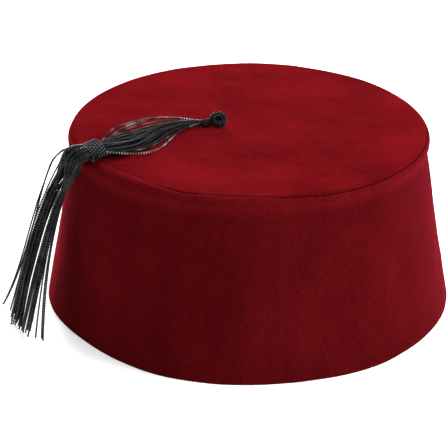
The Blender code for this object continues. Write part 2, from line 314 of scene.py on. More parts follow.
def bump(tree, height, distance, strength=1.0):
    """A normal for relief of this depth in metres."""
    return node(tree, "ShaderNodeBump", {}, {"Height": height, "Distance": distance, "Strength": strength})[0]


def new_finish(name):
    """An empty material and its shader's node."""
    material = bpy.data.materials.new(name)
    material.use_nodes = True
    tree = material.node_tree
    return material, tree, tree.nodes["Principled BSDF"]


# %% [markdown]
# ## The room's own light
#
# The room round the hat is white, but its left front is dim. The world's background is the light that comes from
# each direction, so a sum of that direction's parts makes a room that is brighter to the right and above.

# %% Room light
ROOM_DIM = 0.10
ROOM_FRONT = 0.10
ROOM_RIGHT = 0.55
ROOM_ABOVE = 0.42


def room_light():
    """A dome of white light that is stronger from the right and from above."""
    world = bpy.data.worlds.new("studio")
    world.use_nodes = True
    tree = world.node_tree
    toward = node(tree, "ShaderNodeTexCoord")[0]
    parts = node(tree, "ShaderNodeSeparateXYZ", {}, {0: toward})
    right, front, above = (
        node(tree, "ShaderNodeMath", {"operation": "MAXIMUM"}, {0: part, 1: 0.0})[0]
        for part in (parts[0], parts[1] * -1.0, parts[2])
    )
    strength = right * ROOM_RIGHT + front * ROOM_FRONT + above * ROOM_ABOVE + ROOM_DIM
    tree.links.new(strength.socket, tree.nodes["Background"].inputs["Strength"])
    tree.nodes["Background"].inputs["Color"].default_value = (1.0, 1.0, 1.0, 1.0)
    scene.world = world


room_light()
print("room light of", len(scene.world.node_tree.nodes), "nodes")

# %% [markdown]
# ## Velvet
#
# Velvet is a pile of short upright fibres. Seen from above its tips are dark, and along the surface their sides
# catch the light, so its edges glow: that is the shader's sheen. Where a hand or the sewing has stroked the pile,
# it leans, and the cloth has cloudy lighter and darker patches. These are noises of several sizes that move the
# colour, and a fine one gives the grain of the pile as relief.
#
# The roll at the shoulder is painted a little lighter, a painted highlight where it turns up to the lamps. Beside
# the tassel an upright band of the side is painted darker, a painted shade cast by the tassel.

# %% Velvet finish
SIDE_PILE = ((0.050, 0.0018, 0.0027, 1.0), (0.125, 0.0043, 0.0064, 1.0))
TOP_PILE = ((0.050, 0.0016, 0.0024, 1.0), (0.125, 0.0036, 0.0054, 1.0))
SIDE_SHEEN = (1.0, 0.075, 0.120, 1.0)
TOP_SHEEN = (1.0, 0.044, 0.058, 1.0)
# Heights of the shoulder's roll, which is painted lighter there: a painted highlight where it turns up to the lamps.
ROLL_FROM = 0.0765
ROLL_TO = 0.0815
ROLL_PAINTED_LIGHT = 0.30
# An upright band of the side beside the tassel is painted darker: painted shade cast by the tassel.
TASSEL_SHADE_AT = -0.0815
TASSEL_SHADE_HALF = 0.0050
TASSEL_SHADE_DARKER = 0.45
TASSEL_SHADE_FROM = 0.010
TASSEL_SHADE_FULL = 0.030


def velvet(name, pile_colours, lightness, strokes_by, patchy, sheen, sheen_weight, on_side):
    """Red velvet. lightness moves the middle of its patches, strokes_by squeezes the marks of stroking."""
    material, tree, shader = new_finish(name)
    place = node(tree, "ShaderNodeTexCoord")[3]
    clouds = noise_of(tree, place, 22.0, 3.0, 0.55)
    strokes = noise_of(tree, stretched(tree, place, strokes_by), 1.0, 4.0, 0.6)
    grain = noise_of(tree, place, 900.0, 2.0, 0.7)
    pile = noise_of(tree, place, 2600.0, 1.0, 0.5)
    height = node(tree, "ShaderNodeSeparateXYZ", {}, {0: place})[2]
    # Painted highlight: the roll is made lighter by height.
    limits = {0: height, 1: ROLL_FROM, 2: ROLL_TO, 3: 0.0, 4: ROLL_PAINTED_LIGHT}
    painted_roll_light = node(tree, "ShaderNodeMapRange", {}, limits)[0]
    across, forward = node(tree, "ShaderNodeSeparateXYZ", {}, {0: place})[:2]
    # Painted shade of the tassel: an upright band of the side, darker towards the front.
    off = (across - (AXIS.x + TASSEL_SHADE_AT)) * (1.0 / TASSEL_SHADE_HALF)
    band = node(tree, "ShaderNodeMath", {"operation": "MAXIMUM"}, {0: 1.0 - off * off, 1: 0.0})[0]
    limits = {0: forward, 1: AXIS.y - TASSEL_SHADE_FROM, 2: AXIS.y - TASSEL_SHADE_FULL, 3: 0.0, 4: TASSEL_SHADE_DARKER}
    painted_tassel_shade = band * node(tree, "ShaderNodeMapRange", {}, limits)[0] * on_side
    patches = (clouds - 0.5) * patchy[0] + (strokes - 0.5) * patchy[1]
    share = patches + (grain - 0.5) * 1.2 + painted_roll_light - painted_tassel_shade + lightness
    shader.inputs["Roughness"].default_value = 1.0
    shader.inputs["Specular IOR Level"].default_value = 0.0
    shader.inputs["Sheen Weight"].default_value = sheen_weight
    shader.inputs["Sheen Roughness"].default_value = 0.35
    shader.inputs["Sheen Tint"].default_value = sheen
    colour = mixed(tree, share, *pile_colours)
    relief = grain * 0.6 + pile * 0.4
    tree.links.new(colour.socket, shader.inputs["Base Color"])
    tree.links.new(bump(tree, relief, 0.00025, 0.6).socket, shader.inputs["Normal"])
    return material


# The disc's lightness, 0.24 against the side's 0.20, is a little painted light on the crown, which faces the lamps.
VELVET = velvet("velvet_side", SIDE_PILE, 0.20, (60.0, 60.0, 25.0), (0.5, 0.7), SIDE_SHEEN, 0.18, 1.0)
VELVET_TOP = velvet("velvet_top", TOP_PILE, 0.24, (40.0, 60.0, 40.0), (1.6, 1.0), TOP_SHEEN, 0.09, 0.0)
print("velvets of", len(VELVET.node_tree.nodes), "nodes each")

# %% [markdown]
# ## The cloth's path over the hat
#
# Both pieces of velvet follow one path: level across the crown, over the shoulder's roll, a little in at the neck
# and down the wall. A place on the cloth is then an angle, the run of cloth from the crown's middle, and a depth
# under the surface. That is how the real pieces are cut: flat, and carried to the form afterwards.

# %% The path from the crown's middle to the hem
ROLL_BEGINS = SHOULDER_RADIUS - SHOULDER_ROLL
ROLL_DIPS = 20.0
PATH_STEP = 0.0005


def outer_path():
    """Points (radius, height) down the outside of the hat, from the roll's top to the hem."""
    points = []
    for degrees in range(90, -int(ROLL_DIPS), -5):
        turn = math.radians(degrees)
        height = HAT_HEIGHT - SHOULDER_ROLL * (1.0 - math.sin(turn))
        points.append((ROLL_BEGINS + SHOULDER_ROLL * math.cos(turn), height))
    turn = math.radians(-ROLL_DIPS)
    under = HAT_HEIGHT - SHOULDER_ROLL * (1.0 - math.sin(turn))
    swell = ROLL_BEGINS + SHOULDER_ROLL * math.cos(turn) - wall_radius(under)
    steps = round((under - HEM_ROUND) / PATH_STEP)
    for step in range(steps + 1):
        height = under + (HEM_ROUND - under) * step / steps
        near = max(0.0, (height - NECK_HEIGHT) / (under - NECK_HEIGHT))
        points.append((wall_radius(height) + swell * near * near, height))
    return points


PATH = [(ROLL_BEGINS, ROLL_BEGINS, HAT_HEIGHT)]
for radius, height in outer_path()[1:]:
    run, last_radius, last_height = PATH[-1]
    PATH.append((run + math.hypot(radius - last_radius, height - last_height), radius, height))
HEM_RUN = PATH[-1][0]
print(f"cloth from the crown's middle to the hem: {HEM_RUN * 1000:.1f} mm")


def path_at(run):
    """The (radius, height) this far along the cloth. It runs straight on past the hem."""
    if run <= ROLL_BEGINS:
        return run, HAT_HEIGHT
    low, high = 0, len(PATH) - 1
    while high - low > 1:
        middle = (low + high) // 2
        if PATH[middle][0] <= run:
            low = middle
        else:
            high = middle
    share = (run - PATH[low][0]) / (PATH[high][0] - PATH[low][0])
    radius = PATH[low][1] + (PATH[high][1] - PATH[low][1]) * share
    return radius, PATH[low][2] + (PATH[high][2] - PATH[low][2]) * share


# %% [markdown]
# ## The seam's wandering line
#
# The disc was sewn in by hand, so the seam isn't a perfect circle: at the right it has slid down over the roll,
# and at the left front it runs up onto the crown. The table gives, for a few angles, how much cloth lies between
# the crown's middle and the seam, and how far it gapes, from 0 to 1: at the left it is drawn nearly shut. Round
# each stitch the velvet dips and puckers, most where the seam is open.

# %% Where the seam runs
SEAM = table(
    "angle  run  open",
    (0.0, 0.0852, 1.0),
    (60.0, 0.0848, 1.0),
    (110.0, 0.0862, 0.8),
    (150.0, 0.0872, 0.4),
    (185.0, 0.0868, 0.2),
    (213.0, 0.0812, 0.1),
    (232.0, 0.0800, 0.1),
    (241.5, 0.0822, 0.3),
    (250.5, 0.0830, 0.7),
    (259.0, 0.0820, 0.9),
    (267.0, 0.0819, 0.9),
    (275.0, 0.0823, 0.9),
    (282.0, 0.0834, 1.0),
    (296.5, 0.0847, 1.0),
    (317.0, 0.0852, 1.0),
    (332.5, 0.0853, 1.0),
    (360.0, 0.0852, 1.0),
)
STITCH_PITCH = 0.0030
SEAM_DIP = 0.0007
SEAM_REACH = 0.0008


def seam_at(angle, column):
    """A column of the seam's table at this angle, eased from row to row."""
    angle = angle % 360.0
    for row, following in zip(SEAM, SEAM[1:]):
        if angle <= following["angle"]:
            share = (angle - row["angle"]) / (following["angle"] - row["angle"])
            share = share * share * (3.0 - 2.0 * share)
            return row[column] + (following[column] - row[column]) * share
    return SEAM[-1][column]


def seam_run(angle):
    """How much cloth lies between the crown's middle and the seam, at this angle."""
    return seam_at(angle, "run")


print("the seam is given at", len(SEAM), "angles")

# %% Carrying the cloth to the hat
BROAD_WAVES = 0.00035
FINE_WAVES = 0.0002


def soft_noise(place, size, seed):
    """Smooth noise from about -1 to 1 whose humps are about this size."""
    return noise.noise(place / size + Vector((seed, 2.3 * seed, -1.7 * seed)))


def cloth_place(angle, run, depth):
    """The point of the hat at this angle, this far along the cloth, and this deep under its surface."""
    seam = seam_run(angle)
    off = run - seam
    pucker = 0.5 + 0.5 * math.cos(2.0 * math.pi * math.radians(angle) * ROLL_BEGINS / STITCH_PITCH)
    dip = SEAM_DIP * math.exp(-((off / SEAM_REACH) ** 2)) * (0.45 + 0.55 * pucker) * seam_at(angle, "open")
    if depth < WALL * 0.9:
        depth += dip
    radius, height = path_at(run)
    before = path_at(run - 0.0004)
    after = path_at(run + 0.0004)
    slope = Vector((after[0] - before[0], 0.0, after[1] - before[1])).normalized()
    out = Vector((-slope.z, 0.0, slope.x))
    if out.x < 0.0:
        out = -out if out.z < 0.0 else out
    radius -= out.x * depth
    height -= out.z * depth
    radius = radius * oval(angle, height) - dented(angle, height)
    place = direction(angle) * radius + UP * max(0.0, height)
    wave = BROAD_WAVES * soft_noise(place, 0.030, 1.0) + FINE_WAVES * soft_noise(place, 0.012, 2.0)
    wall_share = min(1.0, max(0.0, (HAT_HEIGHT - height) / 0.02))
    place += direction(angle) * wave * wall_share
    place.z += 0.8 * wave * (1.0 - wall_share)
    return AXIS + place


# %% [markdown]
# ## The two pieces of velvet
#
# Each is cut flat as an outline of (run, depth) points that `spin` turns into a round sheet with a thickness:
# rounded at the seam, folded at the hem. Then every point is carried to its place on the hat. An allowance
# of the side is turned in under the disc, so no light falls through the seam. The inside is finished plainly,
# because the photograph doesn't show it.

# %% Cutting and forming the velvet
CLOTH_SEGMENTS = 576
SHIFT_REACH = 0.012
LIP = 0.0005


def spaced(start, end, step):
    """Even runs from start to end, both kept."""
    count = max(1, round(abs(end - start) / step))
    return [start + (end - start) * index / count for index in range(count + 1)]


def cloth_piece(name, outline, closed, seam_sits_at):
    """Spins the flat outline of (run, depth) points and carries it to the hat, its seam end to the real seam."""
    mesh = bmesh.new()
    points = [mesh.verts.new((run, 0.0, -depth)) for run, depth in outline]
    edges = [mesh.edges.new(pair) for pair in zip(points, points[1:])]
    if closed:
        edges.append(mesh.edges.new((points[-1], points[0])))
    bmesh.ops.spin(
        mesh,
        geom=points + edges,
        cent=(0.0, 0.0, 0.0),
        axis=UP,
        angle=2.0 * math.pi,
        steps=CLOTH_SEGMENTS,
        use_merge=True,
    )
    bmesh.ops.remove_doubles(mesh, verts=mesh.verts, dist=1e-7)
    bmesh.ops.recalc_face_normals(mesh, faces=mesh.faces)
    for vert in mesh.verts:
        angle = math.degrees(math.atan2(vert.co.y, vert.co.x))
        run = vert.co.xy.length
        depth = -vert.co.z
        gap = seam_at(angle, "open")
        if abs(run - seam_sits_at) < 2.0 * LIP and depth <= 1.01 * LIP:
            depth *= gap
            run = seam_sits_at + (run - seam_sits_at) * (0.05 + 0.95 * gap)
        shift = (seam_run(angle) - seam_sits_at) * math.exp(-(((run - seam_sits_at) / SHIFT_REACH) ** 2))
        vert.co = cloth_place(angle, run + shift, depth)
    data = bpy.data.meshes.new(name)
    mesh.to_mesh(data)
    mesh.free()
    data.shade_smooth()
    piece = bpy.data.objects.new(name, data)
    scene.collection.objects.link(piece)
    return piece


SEAM_MIDDLE = 0.0830
SEAM_HALF_GAP = 0.00018
ALLOWANCE = 0.0040
ALLOWANCE_TOP = WALL + 0.0001
ALLOWANCE_UNDER = WALL + 0.0007


def side_outline():
    """The side piece: down the outside, round the hem, up the inside, and its allowance turned in under the disc."""
    edge = SEAM_MIDDLE + SEAM_HALF_GAP
    outer = [(edge, LIP), (edge + 0.3 * LIP, 0.3 * LIP), (edge + LIP, 0.0)]
    outer += [(run, 0.0) for run in spaced(edge + LIP, edge + 0.006, 0.0004)[1:]]
    outer += [(run, 0.0) for run in spaced(edge + 0.006, HEM_RUN, 0.0015)[1:]]
    fold = [(HEM_RUN + 0.7 * HEM_ROUND, 0.3 * HEM_ROUND), (HEM_RUN + HEM_ROUND, HEM_ROUND)]
    fold += [(HEM_RUN + HEM_ROUND, WALL - HEM_ROUND), (HEM_RUN, WALL)]
    inner = [(run, WALL) for run in spaced(HEM_RUN, edge + 0.002, 0.004)[1:]]
    turned_in = [(edge, ALLOWANCE_UNDER), (edge - ALLOWANCE, ALLOWANCE_UNDER)]
    turned_in += [(edge - ALLOWANCE, ALLOWANCE_TOP), (edge, ALLOWANCE_TOP)]
    return outer + fold + inner + turned_in


def top_outline():
    """The crown's disc, from the middle of its upper face out to the seam and back below."""
    edge = SEAM_MIDDLE - SEAM_HALF_GAP
    upper = [(0.0, 0.0)] + [(run, 0.0) for run in spaced(0.002, edge - 0.006, 0.002)]
    upper += [(run, 0.0) for run in spaced(edge - 0.006, edge - LIP, 0.0004)[1:]]
    rim = [(edge - 0.3 * LIP, 0.3 * LIP), (edge, LIP), (edge, WALL)]
    lower = [(run, WALL) for run in spaced(edge, 0.004, 0.006)[1:]] + [(0.0, WALL)]
    return upper + rim + lower


velvet_side = cloth_piece("velvet_side", side_outline(), True, SEAM_MIDDLE)
velvet_top = cloth_piece("velvet_top", top_outline(), False, SEAM_MIDDLE)
for piece, node_name, finish in (
    (velvet_side, "crown_side", VELVET),
    (velvet_top, "crown_top", VELVET_TOP),
):
    piece.data.materials.append(finish)
    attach(piece, "root")
    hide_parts(node_name)
    print(piece.name, len(piece.data.polygons), "faces")

# %% [markdown]
# ## The stitches of the seam
#
# Small running stitches in dark red thread sit in the seam. Each is a short rounded rod, sunk in the pile, so
# only its back shows. One stitch is made with `create_uvsphere` and stretched, and the copies follow the seam.

# %% Stitches
STITCH_LENGTH = 0.0015
STITCH_THICK = 0.00038
STITCH_SINK = 0.00040
STITCH_SINK_TIGHT = 0.0025


def thread_finish():
    """Dark red sewing thread, a little shinier than the pile."""
    material, tree, shader = new_finish("seam_thread")
    place = node(tree, "ShaderNodeTexCoord")[3]
    fray = noise_of(tree, place, 1500.0)
    colour = mixed(tree, fray, (0.040, 0.0016, 0.0032, 1.0), (0.120, 0.0050, 0.0095, 1.0))
    tree.links.new(colour.socket, shader.inputs["Base Color"])
    shader.inputs["Roughness"].default_value = 0.8
    shader.inputs["Specular IOR Level"].default_value = 0.05
    tree.links.new(bump(tree, fray, 0.0001).socket, shader.inputs["Normal"])
    return material


def seam_stitches():
    """All the stitches as one piece."""
    mesh = bmesh.new()
    count = round(2.0 * math.pi * ROLL_BEGINS / STITCH_PITCH)
    for index in range(count):
        angle = 360.0 * index / count
        sink = STITCH_SINK + STITCH_SINK_TIGHT * (1.0 - seam_at(angle, "open")) - SEAM_DIP
        place = cloth_place(angle, seam_run(angle), sink)
        ahead = cloth_place(angle + 0.3, seam_run(angle + 0.3), sink)
        along = (ahead - place).normalized()
        up = (place - cloth_place(angle, seam_run(angle), sink + 0.0005)).normalized()
        side = up.cross(along).normalized()
        frame_matrix = Matrix((along, side, along.cross(side))).transposed().to_4x4()
        frame_matrix.translation = place
        size = Matrix.Diagonal((0.5 * STITCH_LENGTH, 0.5 * STITCH_THICK, 0.5 * STITCH_THICK, 1.0))
        bmesh.ops.create_uvsphere(mesh, u_segments=8, v_segments=6, radius=1.0, matrix=frame_matrix @ size)
    data = bpy.data.meshes.new("seam_stitches")
    mesh.to_mesh(data)
    mesh.free()
    data.shade_smooth()
    piece = bpy.data.objects.new("seam_stitches", data)
    scene.collection.objects.link(piece)
    data.materials.append(thread_finish())
    print(count, "stitches")
    return piece


stitches = seam_stitches()
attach(stitches, "root")

# %% [markdown]
# ## Twisted cord
#
# The tassel's cord is two plies of glossy rayon twisted round each other. Seen from the side it is a row of
# small slanting humps, and each hump has its own glint. A curve can be swept with such a section: two lobes side
# by side, turned by the tilt of its points, half a turn for each hump. The curves are made a mesh at the end.
#
# An attribute, "crown", is 1 on the humps and 0 between them, and there the finishes paint a glint into the colour.
# Noise makes these painted glints come and go. They are strongest on the slack cords and weakest in the hanger's
# bundle.

# %% Sweeping cords along routes
CORD = 0.00100
CORD_HUMP = 0.00130
CORD_STEP = 0.00033


def rayon_finish(name, painted_glint_colour, gloss, specular, dots=2.0, patchy=(2.4, 0.7)):
    """Black rayon with a painted glint in its colour on each ply's crown, by the cords' own attribute."""
    material, tree, shader = new_finish(name)
    place = node(tree, "ShaderNodeTexCoord")[3]
    dust_and_glint = noise_of(tree, place, 700.0, 3.0, 0.6)
    patches = noise_of(tree, place, 160.0, 1.0)
    # crown is the mask of the painted glints, 1 on each hump; the dust noise both varies the black and dims the
    # glints.
    crown = node(tree, "ShaderNodeAttribute", {"attribute_name": "crown"})[2]
    painted_glint = crown**dots * (patches * patchy[0] - patchy[1]) * (dust_and_glint + 0.5)
    black = mixed(tree, dust_and_glint, (0.0025, 0.0025, 0.0030, 1.0), (0.0080, 0.0080, 0.0095, 1.0))
    colour = mixed(tree, painted_glint, black, painted_glint_colour)
    tree.links.new(colour.socket, shader.inputs["Base Color"])
    roughness = dust_and_glint * 0.14 + gloss
    tree.links.new(roughness.socket, shader.inputs["Roughness"])
    fibres = noise_of(tree, place, 4200.0, 1.0)
    tree.links.new(bump(tree, fibres, 0.00006, 0.5).socket, shader.inputs["Normal"])
    shader.inputs["Specular IOR Level"].default_value = specular
    return material


# The five finishes are one black rayon, lit and shaded copies: their painted glints are brightest on the slack
# cords, then the binding, and dimmest in the hanger's bundle. The wound and binding cords are also rougher.
RAYON = rayon_finish("rayon_cord", (0.11, 0.107, 0.105, 1.0), 0.20, 0.12)
RAYON_HANGER = rayon_finish("rayon_cord_hanger", (0.030, 0.029, 0.030, 1.0), 0.22, 0.08)
RAYON_SLACK = rayon_finish("rayon_cord_slack", (0.85, 0.77, 0.70, 1.0), 0.22, 0.08, 5.0, (5.0, 2.1))
RAYON_WOUND = rayon_finish("rayon_cord_wound", (0.075, 0.072, 0.070, 1.0), 0.55, 0.03)
RAYON_BINDING = rayon_finish("rayon_cord_binding", (0.20, 0.195, 0.195, 1.0), 0.50, 0.05)
SECTION_SIDES = 8


def two_ply_section(thick):
    """The cord's section: a closed curve with two lobes."""
    data = bpy.data.curves.new("two_ply", "CURVE")
    data.dimensions = "2D"
    spline = data.splines.new("POLY")
    spline.points.add(SECTION_SIDES - 1)
    for index, point in enumerate(spline.points):
        turn = 2.0 * math.pi * index / SECTION_SIDES
        reach = 0.5 * thick * (0.44 + 0.56 * abs(math.cos(turn)))
        point.co = (reach * math.cos(turn), reach * math.sin(turn), 0.0, 1.0)
    spline.use_cyclic_u = True
    section = bpy.data.objects.new("two_ply", data)
    scene.collection.objects.link(section)
    return section


def walked(route, step):
    """Points at even steps along a route, which is a function from 0 to 1, and how far along each is."""
    samples = [route(index / 200) for index in range(201)]
    runs = [0.0]
    for point, following in zip(samples, samples[1:]):
        runs.append(runs[-1] + (following - point).length)
    count = max(2, round(runs[-1] / step))
    points = []
    at = 0
    for index in range(count + 1):
        wanted = runs[-1] * index / count
        while at < 199 and runs[at + 1] < wanted:
            at += 1
        share = (wanted - runs[at]) / max(1e-9, runs[at + 1] - runs[at])
        points.append((route((at + share) / 200), wanted))
    return points


def cords(name, routes, thick=CORD, step=CORD_STEP, hump=CORD_HUMP, cyclic=False, finish=RAYON):
    """Twisted cords along these routes, as one mesh."""
    curve = bpy.data.curves.new(name, "CURVE")
    curve.dimensions = "3D"
    curve.twist_mode = "MINIMUM"
    curve.bevel_mode = "OBJECT"
    section = two_ply_section(thick)
    curve.bevel_object = section
    curve.use_fill_caps = True
    for index, route in enumerate(routes):
        points = walked(route, step)
        if cyclic:
            points = points[:-1]
        spline = curve.splines.new("POLY")
        spline.use_cyclic_u = cyclic
        spline.points.add(len(points) - 1)
        for point, (place, run) in zip(spline.points, points):
            point.co = (*place, 1.0)
            point.tilt = math.pi * run / hump + 1.7 * index
    holder = bpy.data.objects.new(name + "_curve", curve)
    scene.collection.objects.link(holder)
    bpy.context.view_layer.update()
    graph = bpy.context.evaluated_depsgraph_get()
    data = bpy.data.meshes.new_from_object(holder.evaluated_get(graph))
    data.name = name
    bpy.data.objects.remove(holder)
    bpy.data.objects.remove(section)
    # crown: 1 on each hump, where the finishes paint a glint into the colour.
    crown = data.attributes.new("crown", "FLOAT", "POINT")
    for index in range(len(data.vertices)):
        hump_turn = 2.0 * math.pi * (index // SECTION_SIDES) * step / hump
        crown.data[index].value = 0.5 + 0.5 * math.cos(hump_turn)
    mesh = bmesh.new()
    mesh.from_mesh(data)
    bmesh.ops.remove_doubles(mesh, verts=mesh.verts, dist=1e-8)
    bmesh.ops.recalc_face_normals(mesh, faces=mesh.faces)
    mesh.to_mesh(data)
    mesh.free()
    data.shade_smooth()
    data.materials.clear()
    data.materials.append(finish)
    piece = bpy.data.objects.new(name, data)
    scene.collection.objects.link(piece)
    print(name, len(routes), "cords,", sum(len(face.vertices) - 2 for face in data.polygons), "triangles")
    return piece


def joined(name, pieces):
    """Several meshes as one piece."""
    mesh = bmesh.new()
    for piece in pieces:
        mesh.from_mesh(piece.data)
        bpy.data.objects.remove(piece)
    data = bpy.data.meshes.new(name)
    mesh.to_mesh(data)
    mesh.free()
    data.shade_smooth()
    data.materials.append(RAYON_WOUND)
    whole = bpy.data.objects.new(name, data)
    scene.collection.objects.link(whole)
    return whole


# %% [markdown]
# ## Routes of the tassel
#
# The routes are worked out as in the CAD model, from the same few sizes: the knot's place, the bundle's width and
# depth, the angle at which the tassel crosses the edge. Each cord gets its own place in the bundle. Places that
# turn by the golden angle fill a round bundle evenly, and a little noise makes cords cross each other.

# %% Sizes and routes of the tassel
LAY_GAP = 0.0003
KNOT_ACROSS = 0.0084
KNOT_CORD = 0.0022
KNOT_OFFSET = 0.0152
KNOT_ANGLE = 195.7
KNOT_TILT = 40.0
NECK_ANGLE = 187.0
NECK_LENGTH = 0.0040
NECK_WIDTH = 0.0033
HANGER_WIDTH = 0.0180
HANGER_DEPTH = 0.0048
HANGER_SPREAD = 0.0260
BUNDLE_WIDTH = 0.0125
BUNDLE_DEPTH = 0.0070
BINDING_LENGTH = 0.0075
BINDING_CORD = 0.0010
BINDING_INSET = 0.0065
EDGE_ANGLE = 210.5
SKIRT_FLARE = 0.0170
TIP_CLEARANCE = 0.0006
WIDEST_AT = 0.65
START_PULL = 0.45
END_PULL = 0.35
BEND_SHARE = 0.09
HANG_ANGLE = 13.0
GOLDEN_ANGLE = math.pi * (3.0 - math.sqrt(5.0))
EDGE_WAY = direction(EDGE_ANGLE)
BINDING_REACH = (SHOULDER_RADIUS - BINDING_INSET) * oval(EDGE_ANGLE, HAT_HEIGHT)
SETTLED = EDGE_WAY * 0.0032 + beside(EDGE_WAY) * 0.0024 - UP * 0.0004
SETTLED_UNTIL = 0.19
print(f"binding {BINDING_REACH * 1000:.1f} mm from the axis")


def cubic(points, share):
    """A point of the curve that leaves the first point towards the second, and comes to the last from the third."""
    back = 1.0 - share
    weights = (back**3, 3.0 * back**2 * share, 3.0 * back * share**2, share**3)
    return sum((point * weight for point, weight in zip(points, weights)), Vector((0.0, 0.0, 0.0)))


def eased(share):
    """A share from 0 to 1 that starts and ends gently."""
    share = min(1.0, max(0.0, share))
    return share * share * (3.0 - 2.0 * share)


def heading(route, share):
    """The unit vector along a route."""
    return (route(share + 0.001) - route(share - 0.001)).normalized()


def bulge(share, peak):
    """A smooth hump over a length, 0 at both ends and 1 at the peak."""
    share = min(1.0, max(0.0, share))
    return max(0.0, math.sin(math.pi * share ** (math.log(0.5) / math.log(peak)))) ** 1.3


def swelling(share, start, widest, end):
    """A size that goes from start to end and reaches widest where the hanger is widest."""
    straight = start + (end - start) * share
    return straight + (widest - start - (end - start) * WIDEST_AT) * bulge(share, WIDEST_AT)


def knot_frame():
    """The knot's centre, the way its neck points, the slope of its face upwards, and the way its face looks."""
    along = direction(NECK_ANGLE)
    lean = math.radians(KNOT_TILT)
    slope = UP * math.sin(lean) - beside(along) * math.cos(lean)
    ring_radius = 0.5 * (KNOT_ACROSS - KNOT_CORD)
    rise = ring_radius * math.sin(lean) + 0.5 * KNOT_CORD + LAY_GAP
    centre = direction(KNOT_ANGLE) * KNOT_OFFSET + UP * (HAT_HEIGHT + rise)
    return centre, along, slope, along.cross(slope)


def hanger_middle(share):
    """A point of the hanger's middle line, seen from above."""
    centre, neck_way, _, _ = knot_frame()
    start = centre + neck_way * (0.5 * KNOT_ACROSS + NECK_LENGTH + LAY_GAP)
    start.z = 0.0
    end = EDGE_WAY * (BINDING_REACH - 0.5 * BINDING_LENGTH - LAY_GAP)
    length = (end - start).length
    bends = (start + neck_way * START_PULL * length, end - EDGE_WAY * END_PULL * length)
    return cubic((start, *bends, end), share)


def in_bundle(index, count):
    """The place of a cord in a round bundle, as (across, over) from -1 to 1."""
    reach = ((index + 0.5) / count) ** 0.42
    turn = index * GOLDEN_ANGLE
    return reach * math.cos(turn), reach * math.sin(turn)


def wander(index, share, size, amount):
    """How far a cord strays from its place here: noise of its own, along its length."""
    return amount * noise.noise(Vector((share / size, 3.7 * index, 0.5)))


# %% [markdown]
# ## The hanger
#
# Three dozen cords lie on the crown between the knot and the binding. They leave the knot as a tight round bundle,
# spread out flat, and are gathered again by the binding. Six more are slack, and a piece of their own: they bow
# out of the bundle in thin arcs.

# %% Hanger cords
HANGER_CORDS = 36
STRAYS = table(
    "side  bow  peak  lift",
    (-0.85, -0.34, 0.40, 0.0030),
    (-0.80, -0.30, 0.36, 0.0026),
    (-0.80, -0.22, 0.42, 0.0016),
    (-0.75, -0.12, 0.36, 0.0010),
    (0.90, 0.17, 0.46, 0.0000),
    (0.70, 0.09, 0.38, 0.0000),
)
HANGER_ASIDE = 0.0010
HANGER_WANDER = 0.0024
HANGER_WANDER_UP = 0.0014
INTO_NECK = 0.08


def hanger_route(across, over, index, bow=0.0, peak=0.5, lift=0.0):
    """The route of one cord of the hanger. A bow takes it out of the bundle as a slack arc."""

    def route(share):
        share = share * (1.0 + INTO_NECK) - INTO_NECK
        into_neck = NECK_LENGTH * min(0.0, share) / INTO_NECK
        share = max(0.0, share)
        width = swelling(share, NECK_WIDTH, HANGER_WIDTH, BUNDLE_WIDTH)
        depth = swelling(share, NECK_WIDTH, HANGER_DEPTH, BUNDLE_DEPTH)
        sideways = beside(heading(hanger_middle, min(0.999, max(0.001, share))))
        slackways = beside(heading(hanger_middle, 0.6))
        loose = math.sin(math.pi * share)
        slack = bulge(share, peak) ** 0.8
        side = across * 0.5 * (width - CORD) + wander(index, share, 0.5, HANGER_WANDER) * loose
        side += HANGER_ASIDE * loose
        height = 0.5 * depth + over * 0.5 * (depth - CORD) + wander(index + 50, share, 0.4, HANGER_WANDER_UP) * loose
        height = max(0.5 * CORD, height)
        if bow:
            height += (0.5 * CORD - height) * slack + lift * slack
        place = hanger_middle(share) + direction(NECK_ANGLE) * into_neck
        place += slackways * bow * HANGER_SPREAD * slack + SETTLED * eased(share)
        return AXIS + place + sideways * side + UP * (HAT_HEIGHT + LAY_GAP + height)

    return route


hanger_routes = [hanger_route(*in_bundle(index, HANGER_CORDS), index) for index in range(HANGER_CORDS)]
slack_routes = [
    hanger_route(row["side"], 0.2, 100 + index, row["bow"], row["peak"], row["lift"])
    for index, row in enumerate(STRAYS)
]
hanger_cords = cords("hanger_cords", hanger_routes, finish=RAYON_HANGER)
slack_cords = cords("slack_cords", slack_routes, finish=RAYON_SLACK)
for piece in (hanger_cords, slack_cords):
    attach(piece, "root")
    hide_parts("tassel_hanger")

# %% [markdown]
# ## The skirt
#
# Beyond the binding the cords bend over the shoulder and hang free. They keep together in locks, with slivers of
# light between them, and each ends a little above the table in its own place.

